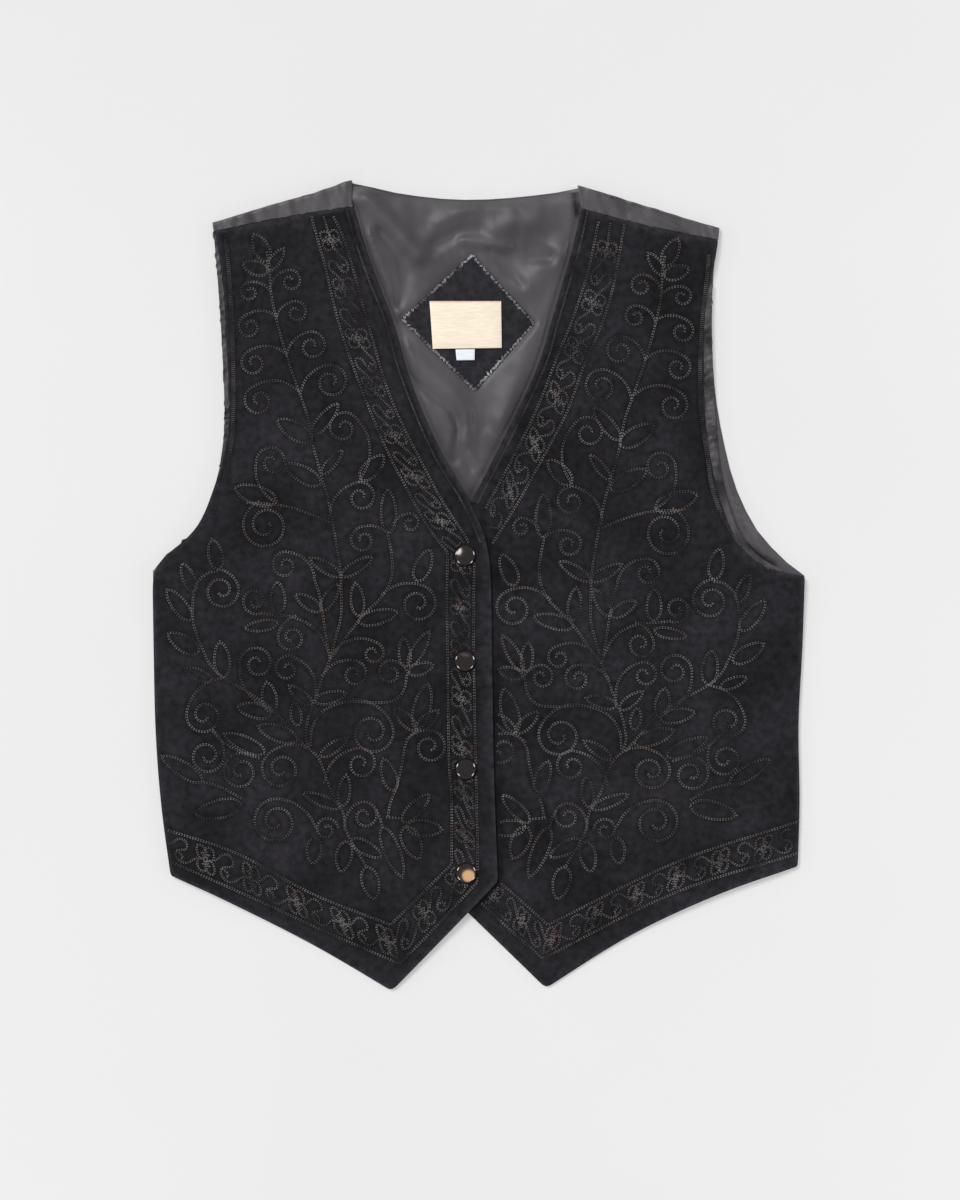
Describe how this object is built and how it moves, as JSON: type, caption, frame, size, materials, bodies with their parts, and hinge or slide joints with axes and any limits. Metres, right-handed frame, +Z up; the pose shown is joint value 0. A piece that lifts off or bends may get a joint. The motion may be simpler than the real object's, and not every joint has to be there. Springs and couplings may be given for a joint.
{
  "type": "suede vest",
  "caption": "Waist-length suede vest laid flat and snapped shut, with a V neck, pointed front hems and a satin back and lining.",
  "frame": {"origin": "on the surface the vest lies on, under the middle of its outline", "axes": "+X to the viewer's right (the wearer's left), +Y along the garment towards the neck, +Z up from the surface through the fronts"},
  "size_m": [0.5015, 0.624, 0.0098],
  "materials": {
    "suede": "black suede with a soft nap",
    "satin": "dark grey satin with a low sheen",
    "snap": "black enamel, high gloss",
    "label": "cream woven label, blank"
  },
  "bodies": {
    "root": {"back": "satin", "back_lining": "satin", "front_right": "suede", "front_left": "suede", "right_armhole_binding": "satin", "left_armhole_binding": "satin", "snap_cap_1": "snap", "snap_cap_2": "snap", "snap_cap_3": "snap", "snap_cap_4": "snap", "label_patch": "suede", "label": "label", "size_tab": "label"}
  },
  "joints": []
}
